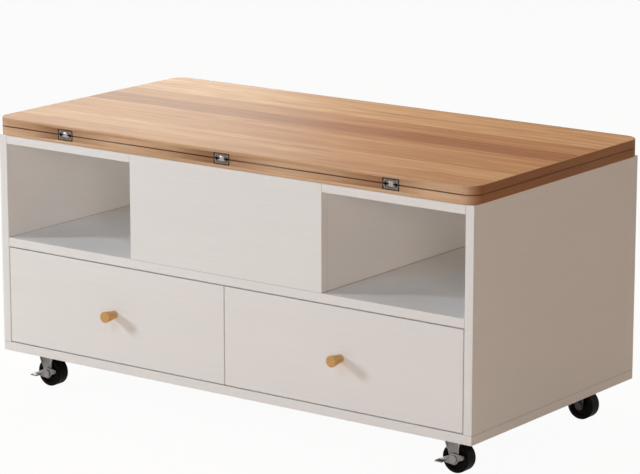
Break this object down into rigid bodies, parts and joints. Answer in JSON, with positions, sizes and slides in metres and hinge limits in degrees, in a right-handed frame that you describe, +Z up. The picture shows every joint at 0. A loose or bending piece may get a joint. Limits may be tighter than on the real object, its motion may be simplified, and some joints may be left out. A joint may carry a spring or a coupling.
{
  "type": "convertible coffee dining table",
  "caption": "White cabinet on braked casters with open cubbies and drawers, under a folding wooden top that lifts on arms and opens out into a dining table.",
  "frame": {"origin": "on the floor, under the middle of the whole table with its knobs", "axes": "+Z up, -Y to the front with the drawers, +X to the right seen from the front"},
  "size_m": [1.008, 0.531, 0.4888],
  "materials": {
    "white_board": "white wood-grain melamine, satin",
    "leaf_wood": "glued wood strips, satin lacquer",
    "knob_wood": "turned hardwood, matt",
    "steel": "zinc-plated sheet steel",
    "black_plastic": "black moulded plastic"
  },
  "bodies": {
    "cabinet": {"base_board": "white_board", "side_panel_left": "white_board", "side_panel_right": "white_board", "middle_shelf": "white_board", "centre_front_panel": "white_board", "divider_left": "white_board", "divider_right": "white_board", "cubby_ceiling_left": "white_board", "cubby_ceiling_right": "white_board", "back_panel": "white_board", "centre_back_panel": "white_board", "drawer_partition": "white_board", "carcass_screws": "steel", "carcass_dowels": "knob_wood", "hardware_screws": "steel", "caster_screws": "steel", "caster_plates": "steel", "slide_outer_members": "steel", "lift_base_frame": "steel", "torsion_springs": "steel"},
    "lift_front_arms": {"lift_front_arms": "steel"},
    "lift_rear_arms": {"lift_rear_arms": "steel"},
    "lower_top": {"lower_leaf": "leaf_wood", "top_brackets": "steel", "top_pivot_pins": "steel", "hinge_plates_lower": "steel", "lower_leaf_screws": "steel"},
    "hinge_links": {"hinge_links": "steel", "hinge_pins": "steel"},
    "upper_top": {"upper_leaf": "leaf_wood", "hinge_plates_upper": "steel", "upper_leaf_screws": "steel"},
    "drawer_left": {"drawer_left_front": "white_board", "drawer_left_knob": "knob_wood", "drawer_left_sides": "white_board", "drawer_left_back": "white_board", "drawer_left_bottom": "white_board", "drawer_left_inner_slides": "steel"},
    "slide_middle_left": {"drawer_left_middle_slides": "steel"},
    "drawer_right": {"drawer_right_front": "white_board", "drawer_right_knob": "knob_wood", "drawer_right_sides": "white_board", "drawer_right_back": "white_board", "drawer_right_bottom": "white_board", "drawer_right_inner_slides": "steel"},
    "slide_middle_right": {"drawer_right_middle_slides": "steel"},
    "caster_swivel_front_left": {"caster_fork_front_left": "steel", "caster_axle_front_left": "steel"},
    "caster_wheel_front_left": {"caster_wheel_front_left": "black_plastic"},
    "brake_front_left": {"brake_lever_front_left": "steel"},
    "caster_swivel_front_right": {"caster_fork_front_right": "steel", "caster_axle_front_right": "steel"},
    "caster_wheel_front_right": {"caster_wheel_front_right": "black_plastic"},
    "brake_front_right": {"brake_lever_front_right": "steel"},
    "caster_swivel_rear_left": {"caster_fork_rear_left": "steel", "caster_axle_rear_left": "steel"},
    "caster_wheel_rear_left": {"caster_wheel_rear_left": "black_plastic"},
    "caster_swivel_rear_right": {"caster_fork_rear_right": "steel", "caster_axle_rear_right": "steel"},
    "caster_wheel_rear_right": {"caster_wheel_rear_right": "black_plastic"}
  },
  "joints": [
    {"name": "lift", "type": "hinge", "parent": "cabinet", "child": "lift_front_arms", "pos_m": [0, 0.0815, 0.3903], "axis": [-1, 0, 0], "range_deg": [0, 85], "deforming": ["torsion_springs"]},
    {"name": "lift_rear", "type": "hinge", "parent": "cabinet", "child": "lift_rear_arms", "pos_m": [0, 0.1255, 0.4403], "axis": [-1, 0, 0], "range_deg": [0, 85]},
    {"name": "top_level", "type": "hinge", "parent": "lift_front_arms", "child": "lower_top", "pos_m": [0, -0.1985, 0.3903], "axis": [1, 0, 0], "range_deg": [0, 85]},
    {"name": "leaf_link", "type": "hinge", "parent": "lower_top", "child": "hinge_links", "pos_m": [0, -0.23975, 0.47055], "axis": [1, 0, 0], "range_deg": [0, 90]},
    {"name": "leaf_fold", "type": "hinge", "parent": "hinge_links", "child": "upper_top", "pos_m": [0, -0.23975, 0.47655], "axis": [1, 0, 0], "range_deg": [0, 90]},
    {"name": "drawer_left_slide", "type": "slide", "parent": "cabinet", "child": "drawer_left", "axis": [0, -1, 0], "range_m": [0, 0.35]},
    {"name": "slide_middle_left_slide", "type": "slide", "parent": "cabinet", "child": "slide_middle_left", "axis": [0, -1, 0], "range_m": [0, 0.175]},
    {"name": "drawer_right_slide", "type": "slide", "parent": "cabinet", "child": "drawer_right", "axis": [0, -1, 0], "range_m": [0, 0.35]},
    {"name": "slide_middle_right_slide", "type": "slide", "parent": "cabinet", "child": "slide_middle_right", "axis": [0, -1, 0], "range_m": [0, 0.175]},
    {"name": "caster_front_left_swivel", "type": "hinge", "parent": "cabinet", "child": "caster_swivel_front_left", "pos_m": [-0.437, -0.1845, 0.058], "axis": [0, 0, 1], "continuous": true},
    {"name": "caster_front_left_roll", "type": "hinge", "parent": "caster_swivel_front_left", "child": "caster_wheel_front_left", "pos_m": [-0.433, -0.1845, 0.025], "axis": [0, 1, 0], "continuous": true},
    {"name": "brake_front_left_press", "type": "hinge", "parent": "caster_swivel_front_left", "child": "brake_front_left", "pos_m": [-0.433, -0.1845, 0.025], "axis": [0, -1, 0], "range_deg": [0, 18]},
    {"name": "caster_front_right_swivel", "type": "hinge", "parent": "cabinet", "child": "caster_swivel_front_right", "pos_m": [0.437, -0.1845, 0.058], "axis": [0, 0, 1], "continuous": true},
    {"name": "caster_front_right_roll", "type": "hinge", "parent": "caster_swivel_front_right", "child": "caster_wheel_front_right", "pos_m": [0.441, -0.1845, 0.025], "axis": [0, 1, 0], "continuous": true},
    {"name": "brake_front_right_press", "type": "hinge", "parent": "caster_swivel_front_right", "child": "brake_front_right", "pos_m": [0.441, -0.1845, 0.025], "axis": [0, -1, 0], "range_deg": [0, 18]},
    {"name": "caster_rear_left_swivel", "type": "hinge", "parent": "cabinet", "child": "caster_swivel_rear_left", "pos_m": [-0.437, 0.1985, 0.058], "axis": [0, 0, 1], "continuous": true},
    {"name": "caster_rear_left_roll", "type": "hinge", "parent": "caster_swivel_rear_left", "child": "caster_wheel_rear_left", "pos_m": [-0.433, 0.1985, 0.025], "axis": [0, 1, 0], "continuous": true},
    {"name": "caster_rear_right_swivel", "type": "hinge", "parent": "cabinet", "child": "caster_swivel_rear_right", "pos_m": [0.437, 0.1985, 0.058], "axis": [0, 0, 1], "continuous": true},
    {"name": "caster_rear_right_roll", "type": "hinge", "parent": "caster_swivel_rear_right", "child": "caster_wheel_rear_right", "pos_m": [0.441, 0.1985, 0.025], "axis": [0, 1, 0], "continuous": true}
  ],
  "couplings": [
    {"joint": "lift_rear", "follows": "lift", "ratio": 1},
    {"joint": "top_level", "follows": "lift", "ratio": 1},
    {"joint": "slide_middle_left_slide", "follows": "drawer_left_slide", "ratio": 0.5},
    {"joint": "slide_middle_right_slide", "follows": "drawer_right_slide", "ratio": 0.5}
  ]
}
